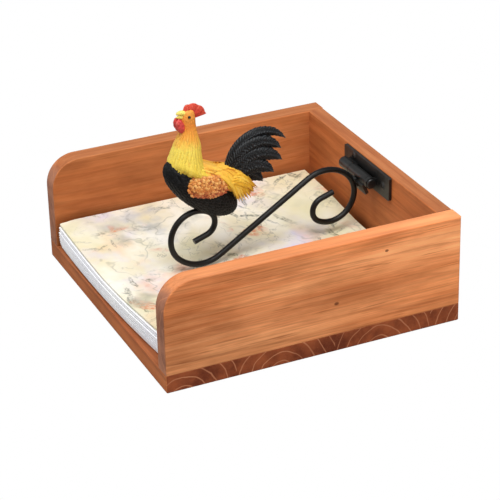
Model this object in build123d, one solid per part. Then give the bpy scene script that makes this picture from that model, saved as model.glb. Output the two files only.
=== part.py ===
"""Wooden napkin holder with a hinged scroll weight that carries a cockerel figure.

Frame: millimetres, origin at the bottom centre of the tray, +Z up, +Y towards the hinged
back wall, the open front towards -Y.
"""
from build123d import *
import math
import os

# ---------------------------------------------------------------- driving dimensions
# napkins, which the tray is made round
NAPKIN_SIZE = 165.0          # a folded napkin's side
NAPKIN_SIDE_ROOM = 3.0       # between the pile and each side wall
NAPKIN_REAR_ROOM = 12.5      # between the pile's rear corners and the back wall
NAPKIN_FRONT_SETBACK = 4.0   # of the pile's front corners behind the front of the base board
NAPKIN_BULGE = 3.5           # of the pile's front edge, forward in the middle
NAPKIN_SIDE_HEIGHT = 19.0    # of the pile at its sides, above the base board
NAPKIN_CLEAR = 0.3           # under the pile
NAPKIN_GAP = 0.6             # between the pile and the top napkin, which slides on it
WIRE_CLEAR = 0.8             # between the wire and the top napkin, which slides out under it
TOP_NAPKIN_THICK = 2.2

# tray
BASE_THICK = 11.5
WALL_THICK = 12.0
WALL_HEIGHT = 58.5           # above the base board
BACK_THICK = 10.5
FRONT_CORNER_RADIUS = 19.0   # the rounded front top corner of each side wall
BOARD_EASE = 1.0             # rounding of the boards' open edges
SEAM_EASE = 0.4              # rounding of the boards' edges along a glued seam

# blind dowels in the glued joints
DOWEL_DIA = 5.0
DOWEL_LENGTH = 22.0
DOWEL_DEPTH_FACE = 8.0       # depth in the board that is drilled in its face
DOWEL_CLEAR = 0.05
DOWEL_END_CLEAR = 0.5
SIDE_DOWEL_COUNT = 3
BACK_DOWEL_COUNT = 2
CORNER_DOWEL_COUNT = 2
DOWEL_MARGIN = 22.0          # from a board's end to the centre of its first dowel

# hinge
LEAF_WIDTH = 60.0
LEAF_HEIGHT = 15.5
LEAF_THICK = 2.0
LEAF_TOP_DROP = 1.0          # below the top of the back wall
LEAF_CORNER_RADIUS = 1.0
KNUCKLE_DIA = 7.5
KNUCKLE_BACK_GAP = 0.25      # between the turning knuckle and the fixed leaf's face
KNUCKLE_SIDE_GAP = 0.3
KNUCKLE_WEB_HEIGHT = 4.4
MOVING_KNUCKLE = 21.4
LEFT_KNUCKLE = 12.0
RIGHT_KNUCKLE = 3.0
PIN_DIA = 3.5
PIN_CLEAR = 0.05
PIN_HEAD_DIA = 6.4
PIN_HEAD_THICK = 1.2
ARM_TAB_DROP = 8.5           # how far the moving leaf reaches beyond the pin's axis
ARM_TAB_REACH = 1.19         # from the turning knuckle to the wire
ARM_TAB_SLOPE = 23.7         # of the line from the pin down to the middle of the loop, degrees
SCREW_HEAD_DIA = 5.6
SCREW_SHANK_DIA = 2.6
SCREW_LENGTH = 8.0
SCREW_HEAD_STAND = 0.7       # dome above the leaf
SCREW_LEFT = (-17.0, 4.3)     # along the leaf, and above its middle
SCREW_RIGHT = (22.0, -0.6)
SCREW_CLEAR = 0.05

# scroll of round wire: a point-symmetric S, from its centre outwards
WIRE_DIA = 3.7
ARM_YAW = 3.5                # the scroll's plane, turned a little about the upright, degrees
SCROLL_PITCH = 30.0          # slope of the straight, degrees
SCROLL_STRAIGHT = 71.8
SHOULDER_RADIUS, SHOULDER_TURN = 23.4, 77.1
LOOP_RADIUS, LOOP_TURN = 17.2, 164.5
CURL_RADIUS, CURL_TURN = 8.3, 132.0
CURL_TAIL = 9.0
WELD_WIDTH = 7.0
WELD_HEIGHT = 6.0
WELD_DEPTH = 1.2

# cockerel: places are (forward, up) from the top of the front loop, in divisions of its height
FIGURE_HEIGHT = 68.0         # of the head's top above the loop
FIGURE_DIVISIONS = 68
BODY_PLACE, BODY_TILT = (-2.6, 15.2), -44.0
BODY_HALVES = (29.0, 13.4, 13.5)           # along, across and sideways
WING_PLACE, WING_TILT, WING_SIDE = (-4.0, 21.2), -18.0, 11.3
WING_HALVES = (14.3, 8.8, 3.5)
HEM_PLACE, HEM_TILT = (8.0, 30.5), -36.0   # plane that ends the feathers of the neck
HACKLE_SECTIONS = [          # forward, up, tilt, half length, half width
    (2.3, 68.0, 90, 2.0, 1.8),
    (2.3, 66.4, 90, 3.5, 3.3),
    (2.3, 63.0, 90, 4.4, 4.3),
    (2.5, 58.5, 90, 4.8, 4.8),
    (3.3, 54.0, 90, 5.7, 5.5),
    (4.4, 50.2, 90, 7.2, 6.9),
    (5.7, 45.2, 90, 9.2, 8.8),
    (6.5, 39.1, 90, 10.9, 10.6),
    (7.0, 33.0, 90, 12.0, 12.2),
    (6.2, 27.0, 90, 12.9, 13.6),
    (4.0, 20.0, 90, 13.2, 14.0),
]
SADDLE_SECTIONS = [
    (1.0, 26.4, -20, 5.2, 9.0),
    (-8.0, 23.1, -24, 6.0, 12.4),
    (-16.0, 18.6, -30, 6.6, 13.4),
    (-24.0, 15.2, -42, 7.2, 12.0),
    (-31.0, 10.0, -56, 5.5, 9.0),
    (-35.0, 5.5, -62, 2.4, 5.0),
]
PLUMES = [                   # root, middle, tip, half height, sideways at the root, and beyond at the tip
    ((-23.0, 22.0), (-38.2, 41.2), (-62.6, 34.6), 3.4, 0.0, 0.0),
    ((-25.0, 20.0), (-38.6, 35.8), (-57.6, 30.4), 4.7, 1.6, 1.4),
    ((-25.0, 20.0), (-38.6, 35.8), (-57.6, 30.4), 4.7, -1.6, -1.4),
    ((-25.0, 17.0), (-39.4, 29.2), (-57.0, 23.6), 4.7, 2.2, 3.0),
    ((-25.0, 17.0), (-39.4, 29.2), (-57.0, 23.6), 4.7, -2.2, -3.0),
    ((-25.0, 14.0), (-37.6, 22.8), (-50.8, 17.0), 4.6, 2.6, 3.2),
    ((-25.0, 14.0), (-37.6, 22.8), (-50.8, 17.0), 4.6, -2.6, -3.2),
    ((-24.0, 13.0), (-35.0, 17.0), (-46.0, 9.6), 4.4, 0.0, 0.0),
]
PLUME_TAPER = ((0.0, 0.8), (0.3, 1.0), (0.6, 1.0), (0.85, 0.75), (1.0, 0.2))
PLUME_HALF_THICK = 2.3
COMB_MIDDLE = (2.6, 61.2)
COMB_POINT_COUNT = 5
COMB_FROM, COMB_TO = 116.0, 10.0           # angles of its last and first point
COMB_REACH, COMB_REACH_GAIN = 8.6, 3.4     # of the last point, and what the first has more
COMB_NOTCH = 1.7
COMB_HALF_THICK = 1.7
COMB_EDGE = 0.5
WATTLE_PLACE, WATTLE_TILT, WATTLE_SIDE = (8.6, 58.5), 15.0, 1.9
WATTLE_HALVES = (2.5, 4.4, 1.7)
BEAK_HALVES = [((5.0, 65.2), 5.6, 2.0), ((5.2, 63.0), 5.3, 1.6)]  # root, length, root radius
BEAK_DIP = -8.0
BEAK_TIP = 0.35
EYE_PLACE, EYE_SIDE, EYE_RADIUS = (3.4, 64.2), 3.9, 0.8

# ---------------------------------------------------------------- derived places
WIDTH = NAPKIN_SIZE + 2 * (NAPKIN_SIDE_ROOM + WALL_THICK)
DEPTH = NAPKIN_SIZE + NAPKIN_FRONT_SETBACK + NAPKIN_REAR_ROOM + BACK_THICK
INNER_HALF = WIDTH / 2 - WALL_THICK
FRONT = -DEPTH / 2
BACK = DEPTH / 2
BACK_INNER = BACK - BACK_THICK
TOP = BASE_THICK + WALL_HEIGHT

LEAF_FACE = BACK_INNER - LEAF_THICK
LEAF_MID_Z = TOP - LEAF_TOP_DROP - LEAF_HEIGHT / 2
PIN_Y = LEAF_FACE - KNUCKLE_BACK_GAP - KNUCKLE_DIA / 2
PIN_Z = LEAF_MID_Z - 1.25
KNUCKLE_LEFT_X = -MOVING_KNUCKLE / 2
KNUCKLE_RIGHT_X = MOVING_KNUCKLE / 2

FIGURE_UNIT = FIGURE_HEIGHT / FIGURE_DIVISIONS


def turned(degrees):
    """Unit vector in a (Y, Z) drawing at an angle above +Y."""
    return Vector(math.cos(math.radians(degrees)), math.sin(math.radians(degrees)))


def side_yz(shape):
    """Moves a (Y, Z) drawing from the XY plane into the plane x = 0."""
    return Plane.YZ * shape


def on_arm(shape):
    """Turns what was drawn round the plane x = 0 to where the welded arm holds it."""
    return Pos(0, PIN_Y) * Rot(0, 0, ARM_YAW) * Pos(0, -PIN_Y) * shape


# ---------------------------------------------------------------- tray
def even_places(count, low, high):
    """Evenly spaced values from low to high."""
    return [low + (high - low) * i / (count - 1) for i in range(count)]


def dowel_axes():
    """Each dowel's middle as a location with its Z along the dowel."""
    upright_z = BASE_THICK - DOWEL_DEPTH_FACE + DOWEL_LENGTH / 2
    axes = []
    for side in (-1, 1):
        x = side * (WIDTH - WALL_THICK) / 2
        for y in even_places(SIDE_DOWEL_COUNT, FRONT + DOWEL_MARGIN, BACK_INNER - DOWEL_MARGIN):
            axes.append(Location((x, y, upright_z)))
        corner_x = side * (INNER_HALF + DOWEL_DEPTH_FACE - DOWEL_LENGTH / 2)
        for z in even_places(CORNER_DOWEL_COUNT, BASE_THICK + DOWEL_MARGIN, TOP - DOWEL_MARGIN / 2):
            axes.append(Location((corner_x, BACK - BACK_THICK / 2, z), (0, 90, 0)))
    for x in even_places(BACK_DOWEL_COUNT, -INNER_HALF + 2 * DOWEL_MARGIN, INNER_HALF - 2 * DOWEL_MARGIN):
        axes.append(Location((x, BACK - BACK_THICK / 2, upright_z)))
    return axes


def dowels():
    pin = Cylinder(DOWEL_DIA / 2, DOWEL_LENGTH)
    pin = chamfer(pin.edges(), 0.6)
    return [axis * pin for axis in dowel_axes()]


def dowel_bores():
    bore = Cylinder(DOWEL_DIA / 2 + DOWEL_CLEAR, DOWEL_LENGTH + 2 * DOWEL_END_CLEAR)
    return [axis * bore for axis in dowel_axes()]


def base_board():
    board = Pos(0, 0, BASE_THICK / 2) * Box(WIDTH, DEPTH, BASE_THICK)
    board = fillet(board.edges().filter_by(Axis.Z), BOARD_EASE)
    board = fillet(board.faces().sort_by(Axis.Z)[0].edges(), BOARD_EASE * 0.8)
    board = fillet(board.faces().sort_by(Axis.Z)[-1].edges(), SEAM_EASE)
    return board - dowel_bores()


def side_wall(side):
    """side is -1 for the left wall and +1 for the right one."""
    middle = Pos(side * (WIDTH - WALL_THICK) / 2, 0, BASE_THICK + WALL_HEIGHT / 2)
    wall = middle * Box(WALL_THICK, DEPTH, WALL_HEIGHT)
    front_edges = wall.edges().filter_by(Axis.X).group_by(Axis.Y)[0]
    wall = fillet(front_edges.sort_by(Axis.Z)[-1], FRONT_CORNER_RADIUS)
    cheeks = wall.faces().filter_by(Axis.X)
    rim = [e for e in cheeks.edges() if e.center().Z > BASE_THICK + 0.01]
    wall = fillet(rim, BOARD_EASE)
    bottom = wall.faces().sort_by(Axis.Z)[0]
    wall = fillet(bottom.edges(), SEAM_EASE)
    return wall - dowel_bores()


def back_wall():
    middle = Pos(0, BACK - BACK_THICK / 2, BASE_THICK + WALL_HEIGHT / 2)
    wall = middle * Box(2 * INNER_HALF, BACK_THICK, WALL_HEIGHT)
    top = wall.faces().sort_by(Axis.Z)[-1]
    wall = fillet(top.edges().filter_by(Axis.X), BOARD_EASE)
    return wall - dowel_bores() - leaf_screw_bores()


# ---------------------------------------------------------------- hinge
def screw_places():
    return [(along, LEAF_MID_Z + above) for along, above in (SCREW_LEFT, SCREW_RIGHT)]


def leaf_screw():
    """Dome-headed countersunk screw, its tip towards +Z, the leaf's face at z = 0."""
    head = SCREW_HEAD_DIA / 2
    shank = SCREW_SHANK_DIA / 2
    sink = head - shank
    flank = Polyline(
        (head, 0), (shank, sink), (shank, SCREW_LENGTH - shank), (0, SCREW_LENGTH),
        (0, -SCREW_HEAD_STAND),
    )
    dome = ThreePointArc((0, -SCREW_HEAD_STAND), (head * 0.6, -SCREW_HEAD_STAND * 0.66), (head, 0))
    profile = make_face(Wire([*flank.edges(), dome]))
    screw = revolve(Plane.XZ * profile, Axis.Z)
    slot = Pos(0, 0, -SCREW_HEAD_STAND) * Box(SCREW_HEAD_DIA * 0.7, 0.7, 0.9)
    cross = Pos(0, 0, -SCREW_HEAD_STAND) * Box(0.7, SCREW_HEAD_DIA * 0.7, 0.9)
    return screw - slot - cross


def screw_bore():
    head = SCREW_HEAD_DIA / 2 + SCREW_CLEAR
    shank = SCREW_SHANK_DIA / 2 + SCREW_CLEAR
    sink = Cone(head, shank, head - shank, align=(Align.CENTER, Align.CENTER, Align.MIN))
    hole = Cylinder(shank, SCREW_LENGTH + DOWEL_END_CLEAR, align=(Align.CENTER, Align.CENTER, Align.MIN))
    return sink + hole


def on_leaf(shape):
    """Copies of a shape drawn along +Z, set into the leaf's face at each screw."""
    return [Location((x, LEAF_FACE, z), (-90, 0, 0)) * shape for x, z in screw_places()]


def leaf_screw_bores():
    return on_leaf(screw_bore())


def leaf_screws():
    return on_leaf(leaf_screw())


def knuckle(x_low, x_high):
    """Barrel round the pin's axis from x_low to x_high."""
    middle = Location(((x_low + x_high) / 2, PIN_Y, PIN_Z), (0, 90, 0))
    return middle * Cylinder(KNUCKLE_DIA / 2, x_high - x_low)


def pin_bore():
    return Location((0, PIN_Y, PIN_Z), (0, 90, 0)) * Cylinder(PIN_DIA / 2 + PIN_CLEAR, LEAF_WIDTH)


def fixed_knuckle_ends():
    left = (KNUCKLE_LEFT_X - KNUCKLE_SIDE_GAP - LEFT_KNUCKLE, KNUCKLE_LEFT_X - KNUCKLE_SIDE_GAP)
    right = (KNUCKLE_RIGHT_X + KNUCKLE_SIDE_GAP, KNUCKLE_RIGHT_X + KNUCKLE_SIDE_GAP + RIGHT_KNUCKLE)
    return left, right


def hinge_fixed_leaf():
    plate = Pos(0, LEAF_FACE + LEAF_THICK / 2, LEAF_MID_Z) * Box(LEAF_WIDTH, LEAF_THICK, LEAF_HEIGHT)
    plate = fillet(plate.edges().filter_by(Axis.Y), LEAF_CORNER_RADIUS)
    for x_low, x_high in fixed_knuckle_ends():
        reach = LEAF_FACE + LEAF_THICK / 2 - PIN_Y
        web = Pos((x_low + x_high) / 2, PIN_Y + reach / 2, PIN_Z)
        plate += knuckle(x_low, x_high) + web * Box(x_high - x_low, reach, KNUCKLE_WEB_HEIGHT)
    return plate - pin_bore() - leaf_screw_bores()


def hinge_pin():
    (x_low, _), (_, x_high) = fixed_knuckle_ends()
    rod = Location(((x_low + x_high) / 2, PIN_Y, PIN_Z), (0, 90, 0)) * Cylinder(PIN_DIA / 2, x_high - x_low)
    for x, outward in ((x_low, -1), (x_high, 1)):
        head = Cylinder(PIN_HEAD_DIA / 2, PIN_HEAD_THICK)
        head = fillet(head.edges().sort_by(Axis.Z)[-1], PIN_HEAD_THICK * 0.7)
        head = Location((x + outward * PIN_HEAD_THICK / 2, PIN_Y, PIN_Z), (0, outward * 90, 0)) * head
        rod += head
    return rod


def loop_centre():
    """Centre of the loop beside the hinge, in (Y, Z)."""
    reach = KNUCKLE_DIA / 2 + ARM_TAB_REACH + WIRE_DIA / 2 + LOOP_RADIUS
    return Vector(PIN_Y, PIN_Z) + turned(180 + ARM_TAB_SLOPE) * reach


def scroll_centre():
    """Middle of the straight, in (Y, Z)."""
    shoulder_mid = loop_centre() - turned(SCROLL_PITCH - SHOULDER_TURN + 90) * (
        SHOULDER_RADIUS - LOOP_RADIUS
    )
    straight_end = shoulder_mid - turned(SCROLL_PITCH - 90) * SHOULDER_RADIUS
    return straight_end - turned(SCROLL_PITCH) * (SCROLL_STRAIGHT / 2)


def hinge_moving_leaf():
    """Turning knuckle with a short tab, tangent to the loop, that the wire is welded to."""
    axis = Vector(PIN_Y, PIN_Z)
    wire_face = KNUCKLE_DIA / 2 + ARM_TAB_REACH
    inner = KNUCKLE_DIA / 2 - 0.9
    tab = Pos((inner + wire_face) / 2, ARM_TAB_DROP / 2, 0) * Box(
        wire_face - inner, ARM_TAB_DROP, MOVING_KNUCKLE
    )
    tab = fillet(tab.edges().filter_by(Axis.X).group_by(Axis.Y)[-1], ARM_TAB_DROP * 0.3)
    weld_mid = wire_face + WELD_DEPTH / 2 - 0.2
    weld = Pos(weld_mid, 0.4, 0) * Box(WELD_DEPTH + 0.4, WELD_HEIGHT, WELD_WIDTH)
    place = Pos(axis.X, axis.Y) * Rot(0, 0, 180 + ARM_TAB_SLOPE)
    tab, weld = side_yz(place * tab), side_yz(place * weld)
    leaf = knuckle(KNUCKLE_LEFT_X, KNUCKLE_RIGHT_X) + tab + on_arm(weld)
    return leaf - pin_bore() - scroll_wire()


# ---------------------------------------------------------------- scroll
def scroll_path():
    """Centre line of the wire, in the plane x = 0."""
    straight = Line((0, 0), turned(SCROLL_PITCH) * (SCROLL_STRAIGHT / 2))
    shoulder = JernArc(straight @ 1, straight % 1, SHOULDER_RADIUS, -SHOULDER_TURN)
    loop = JernArc(shoulder @ 1, shoulder % 1, LOOP_RADIUS, -LOOP_TURN)
    curl = JernArc(loop @ 1, loop % 1, CURL_RADIUS, -CURL_TURN)
    tail = Line(curl @ 1, curl @ 1 + (curl % 1) * CURL_TAIL)
    half = [straight, shoulder, loop, curl, tail]
    other = [Rot(0, 0, 180) * edge for edge in half]
    edges = [edge for piece in half + other for edge in piece.edges()]
    centre = scroll_centre()
    return on_arm(side_yz(Pos(centre.X, centre.Y) * Wire(edges)))


def scroll_wire():
    path = scroll_path()
    start = Plane(origin=path @ 0, z_dir=path % 0)
    return sweep(start * Circle(WIRE_DIA / 2), path=path)


def scroll_low_z():
    """Underside of the wire in the front loop."""
    return scroll_path().bounding_box().min.Z - WIRE_DIA / 2


# ---------------------------------------------------------------- napkins
def dip_line(depth):
    """Top line of the pile in (X, Z), or of what lies depth below it: pressed down by the wire."""
    half = NAPKIN_SIZE / 2
    side_z = BASE_THICK + NAPKIN_SIDE_HEIGHT - depth
    return ThreePointArc((-half, side_z), (0, scroll_low_z() - WIRE_CLEAR - depth), (half, side_z))


def pile_plan():
    """Outline from above, its front and back edges bowed forward in the middle."""
    half = NAPKIN_SIZE / 2
    front = FRONT + NAPKIN_FRONT_SETBACK
    rear = front + NAPKIN_SIZE
    edges = [
        ThreePointArc((-half, front), (0, front - NAPKIN_BULGE), (half, front)),
        Line((half, front), (half, rear)),
        ThreePointArc((half, rear), (0, rear - NAPKIN_BULGE), (-half, rear)),
        Line((-half, rear), (-half, front)),
    ]
    return extrude(make_face(Wire(edges)), TOP)


def pile_layer(low, high):
    """The pile between two lines drawn in (X, Z)."""
    left = Line(low @ 0, high @ 0)
    right = Line(low @ 1, high @ 1)
    section = make_face(Wire([low, right, high, left]))
    return extrude(Plane.XZ * section, DEPTH, both=True) & pile_plan()


def top_napkin():
    return pile_layer(dip_line(TOP_NAPKIN_THICK), dip_line(0))


def napkin_stack():
    half = NAPKIN_SIZE / 2
    rest_z = BASE_THICK + NAPKIN_CLEAR
    return pile_layer(Line((-half, rest_z), (half, rest_z)), dip_line(TOP_NAPKIN_THICK + NAPKIN_GAP))


# ---------------------------------------------------------------- cockerel
def seat():
    """Middle of the wire at the top of the front loop, in (Y, Z)."""
    front_loop = scroll_centre() * 2 - loop_centre()
    return front_loop + Vector(0, LOOP_RADIUS)


def figure_point(forward, up):
    """(Y, Z) of a place on the figure, measured from the seat."""
    return seat() + Vector(-forward, up) * FIGURE_UNIT


def lofted(sections):
    """Loft through ellipses given as (forward, up, tilt, half length, half width)."""
    faces = []
    for forward, up, tilt, half_length, half_width in sections:
        place = figure_point(forward, up)
        normal = turned(tilt)
        plane = Plane(origin=(0, place.X, place.Y), x_dir=(1, 0, 0), z_dir=(0, normal.X, normal.Y))
        faces.append(plane * Ellipse(half_width * FIGURE_UNIT, half_length * FIGURE_UNIT))
    return loft(faces)


def ellipsoid(place, tilt, halves, side=0.0):
    """Rounded form lofted through elliptical slices, its length along +Y before the tilt."""
    half_length, half_height, half_width = [half * FIGURE_UNIT for half in halves]
    slices = []
    for along in (-0.98, -0.85, -0.6, -0.25, 0.25, 0.6, 0.85, 0.98):
        share = math.sqrt(1 - along**2)
        plane = Plane(origin=(0, along * half_length, 0), x_dir=(1, 0, 0), z_dir=(0, 1, 0))
        slices.append(plane * Ellipse(half_width * share, half_height * share))
    middle = figure_point(*place)
    return Location((side * FIGURE_UNIT, middle.X, middle.Y), (tilt, 0, 0)) * loft(slices)


def body_blank():
    return ellipsoid(BODY_PLACE, BODY_TILT, BODY_HALVES)


def rooster_hackle():
    """Head and neck with the cape of long feathers that ends on the breast."""
    hem = figure_point(*HEM_PLACE)
    size = FIGURE_HEIGHT
    below = Location((0, hem.X, hem.Y), (HEM_TILT, 0, 0)) * Box(
        size, size, size, align=(Align.CENTER, Align.CENTER, Align.MAX)
    )
    return lofted(HACKLE_SECTIONS) - below


def rooster_saddle():
    """Feathers over the back that hang down on both sides of the tail."""
    return lofted(SADDLE_SECTIONS)


def wing(side):
    return ellipsoid(WING_PLACE, WING_TILT, WING_HALVES, side * WING_SIDE)


def plume(root, middle, tip, half_height, side, lean):
    """One curved tail feather along an arc through three places, (forward, up) each."""
    spine = ThreePointArc(*[figure_point(*place) for place in (root, middle, tip)])
    faces = []
    for t, share in PLUME_TAPER:
        at, along = spine @ t, spine % t
        plane = Plane(
            origin=((side + lean * t) * FIGURE_UNIT, at.X, at.Y),
            x_dir=(1, 0, 0),
            z_dir=(0, along.X, along.Y),
        )
        halves = PLUME_HALF_THICK * FIGURE_UNIT, half_height * share * FIGURE_UNIT
        faces.append(plane * Ellipse(*halves))
    return loft(faces)


def rooster_tail():
    tail = plume(*PLUMES[0])
    for row in PLUMES[1:]:
        tail += plume(*row)
    return tail


def rooster_comb():
    """Single comb: a blade with rounded points, swept back over the head."""
    middle = figure_point(*COMB_MIDDLE)
    angles = even_places(2 * COMB_POINT_COUNT - 1, COMB_FROM, COMB_TO)
    outline = [middle + turned(COMB_FROM - 18) * 4 * FIGURE_UNIT]
    for i, angle in enumerate(angles):
        reach = COMB_REACH + COMB_REACH_GAIN * i / (len(angles) - 1) - COMB_NOTCH * (i % 2)
        outline.append(middle + turned(angle) * reach * FIGURE_UNIT)
    outline.append(middle + turned(COMB_TO - 30) * 5 * FIGURE_UNIT)
    half_thick = COMB_HALF_THICK * FIGURE_UNIT
    blade = side_yz(extrude(make_face(Polyline(*outline, close=True)), half_thick, both=True))
    return fillet(blade.edges().filter_by(Axis.X), COMB_EDGE * FIGURE_UNIT)


def rooster_wattles():
    lobes = [
        ellipsoid(WATTLE_PLACE, WATTLE_TILT, WATTLE_HALVES, side * WATTLE_SIDE) for side in (-1, 1)
    ]
    return lobes[0] + lobes[1]


def beak_half(place, length, radius):
    root = figure_point(*place)
    cone = Cone(
        radius * FIGURE_UNIT,
        BEAK_TIP * FIGURE_UNIT,
        length * FIGURE_UNIT,
        align=(Align.CENTER, Align.CENTER, Align.MIN),
    )
    return Location((0, root.X, root.Y), (90 + BEAK_DIP, 0, 0)) * cone


def rooster_beak():
    upper, lower = [beak_half(*row) for row in BEAK_HALVES]
    return upper + lower


def rooster_eyes():
    place = figure_point(*EYE_PLACE)
    eye = Sphere(EYE_RADIUS * FIGURE_UNIT)
    return [Pos(side * EYE_SIDE * FIGURE_UNIT, place.X, place.Y) * eye for side in (-1, 1)]


# ---------------------------------------------------------------- assembly
def joined(shapes):
    """Separate solids that share one node."""
    return Compound([solid for shape in shapes for solid in shape.solids()])


def figure_parts():
    """Zones of the figure, each cut by the ones that lie over it."""
    layers = {
        "rooster_comb": [rooster_comb()],
        "rooster_beak": [rooster_beak()],
        "rooster_wattles": [rooster_wattles()],
        "rooster_hackle": [rooster_hackle()],
        "rooster_wings": [wing(-1), wing(1)],
        "rooster_saddle": [rooster_saddle()],
        "rooster_tail": [rooster_tail()],
        "rooster_body": [body_blank()],
    }
    above = [scroll_wire()]
    nodes = {"rooster_eyes": joined(on_arm(eye) for eye in rooster_eyes())}
    for name, shapes in layers.items():
        shapes = [on_arm(shape) for shape in shapes]
        for cutter in above:
            shapes = [shape - cutter for shape in shapes]
        solids = [solid for shape in shapes for solid in shape.solids()]
        nodes[name] = joined(solids) if len(solids) > 1 else solids[0]
        above += solids
    return nodes


def build():
    parts = {
        "base_board": base_board(),
        "side_wall_left": side_wall(-1),
        "side_wall_right": side_wall(1),
        "back_wall": back_wall(),
        "wall_dowels": joined(dowels()),
        "hinge_fixed_leaf": hinge_fixed_leaf(),
        "hinge_moving_leaf": hinge_moving_leaf(),
        "hinge_pin": hinge_pin(),
        "hinge_screws": joined(leaf_screws()),
        "scroll_arm": scroll_wire(),
        "napkin_stack": napkin_stack(),
        "top_napkin": top_napkin(),
    }
    parts.update(figure_parts())
    return parts


if __name__ == "__main__":
    os.makedirs("parts", exist_ok=True)
    for node, shape in build().items():
        export_step(shape, f"parts/{node}.step")
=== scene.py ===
"""Looks of the napkin holder: wood, black wire, painted cockerel and folded napkins.

The figure is drawn in millimetres from the top of the front loop: sideways, back and up.
"""

import math
import random

import bpy
import numpy as np
from mathutils import Matrix, Vector, noise
from mathutils.bvhtree import BVHTree


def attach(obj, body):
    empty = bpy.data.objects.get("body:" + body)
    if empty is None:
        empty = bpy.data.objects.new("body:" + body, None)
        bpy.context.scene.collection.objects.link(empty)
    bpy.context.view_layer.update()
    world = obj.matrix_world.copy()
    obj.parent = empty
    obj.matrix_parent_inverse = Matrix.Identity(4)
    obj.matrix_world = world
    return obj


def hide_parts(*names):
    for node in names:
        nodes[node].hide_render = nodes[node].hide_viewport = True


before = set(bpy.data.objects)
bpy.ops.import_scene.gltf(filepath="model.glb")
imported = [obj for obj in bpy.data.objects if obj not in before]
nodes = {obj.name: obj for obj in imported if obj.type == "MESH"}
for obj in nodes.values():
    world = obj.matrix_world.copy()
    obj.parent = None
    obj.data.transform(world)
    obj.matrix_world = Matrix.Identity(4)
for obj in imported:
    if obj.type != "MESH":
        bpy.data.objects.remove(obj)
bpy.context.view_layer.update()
scene = bpy.context.scene

MM = 0.001
SEAT = (-37.13, 63.74)        # top of the front loop, along Y and Z
PIN_Y = 79.5
ARM_YAW = math.radians(3.5)

# ---------------------------------------------------------------- camera
CAMERA_PLACE = (1.01977, -0.45400, 0.60067)
CAMERA_BACK = (0.8115, -0.3628, 0.4580)
CAMERA_ROLL = math.radians(-1.40)
CAMERA_LENS = 144.96

# ---------------------------------------------------------------- set
FLOOR_HALF, FLOOR_Z, FLOOR_GREY = 6, -0.0002, 0.32
SKY_LEVEL = 0.34
LIT_PLACE = (0, 0, 0.03)

# ---------------------------------------------------------------- napkins
NAPKIN_HALF = 82.5
NAPKIN_FRONT = -93.4
NAPKIN_BOW = 2.6
NAPKIN_REAR = 79.4
NAPKIN_SKEW = 2.2             # the front edge is further forward on the left
PILE_LOW, PILE_TOP = 11.9, 30.4
PILE_SHARE = 0.87             # of that height, below the top napkin
DIP_DEPTH, DIP_X, DIP_WIDTH = 5.3, 6.5, 46.0
DIP_FRONT_Y = -60.0           # in front of this the dip fades out towards the fold
PILE_COUNT = 9
SHEET_POINTS, SIDE_FOLD_POINTS, FRONT_FOLD_POINTS = 38, 5, 9

# ---------------------------------------------------------------- cockerel
HACKLE = [                    # forward, up, tilt, half length, half width
    (2.4, 67.6, 90, 1.8, 1.6),
    (2.3, 66.4, 90, 3.3, 3.1),
    (2.6, 63.0, 90, 4.4, 4.0),
    (2.6, 58.5, 90, 4.6, 4.3),
    (2.5, 54.0, 90, 4.9, 5.0),
    (3.2, 50.2, 90, 6.1, 6.1),
    (4.0, 45.2, 90, 7.8, 7.8),
    (5.2, 39.1, 90, 9.2, 9.4),
    (6.2, 33.0, 90, 10.8, 11.6),
    (5.8, 27.0, 90, 12.3, 13.3),
    (4.0, 20.0, 90, 13.0, 13.8),
]
HEM_FORWARD, HEM_UP, HEM_SLOPE = 8.0, 31.9, 0.62      # a place on the neck's lower edge, and its rise
SADDLE = [                    # as the hackle
    (1.0, 25.8, -20, 5.0, 9.0),
    (-8.0, 20.9, -24, 5.4, 10.8),
    (-16.5, 18.2, -32, 6.8, 11.6),
    (-24.0, 16.2, -42, 8.0, 11.0),
    (-31.5, 11.0, -56, 5.8, 8.6),
    (-36.0, 6.4, -62, 2.6, 4.6),
]
PLUMES = [                    # root, middle, tip, half height, sideways at the root, and beyond at the tip
    ((-23.0, 22.0), (-38.2, 41.2), (-62.6, 34.6), 3.4, 0.0, 0.0),
    ((-25.0, 20.0), (-38.6, 35.8), (-57.6, 30.4), 4.7, 1.6, 1.4),
    ((-25.0, 17.0), (-39.4, 29.2), (-57.0, 23.6), 4.7, 2.2, 3.0),
    ((-25.0, 14.0), (-37.6, 22.8), (-50.8, 17.0), 4.6, 2.6, 3.2),
    ((-24.0, 13.0), (-35.0, 17.0), (-46.0, 9.6), 4.4, 0.0, 0.0),
]
PLUME_TAPER = ((0.0, 0.8), (0.3, 1.0), (0.6, 0.98), (0.8, 0.78), (0.92, 0.44), (1.0, 0.06))
FEATHERED_ROWS, FEATHERS_ROUND = 25, 36
BODY_PLACE, BODY_TILT, BODY_HALVES = (-3.9, 15.4), -41.5, (29.6, 12.6, 12.1)
WING_PLACE, WING_TILT, WING_SIDE = (-4.4, 19.9), -18.0, 10.2
WING_HALVES = (13.6, 7.9, 3.4)
DROOP_TIPS = [                # tips of the feathers that hang over the flank: forward, up, sideways
    (-21.6, 12.0, 12.6), (-22.6, 8.0, 12.4), (-24.2, 5.6, 11.8), (-26.6, 5.2, 11.0), (-29.0, 4.9, 10.4),
    (-31.4, 4.6, 9.8), (-33.6, 4.9, 9.0), (-35.6, 8.2, 8.2), (-38.2, 9.4, 6.6), (-40.4, 8.6, 4.4),
]
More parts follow.
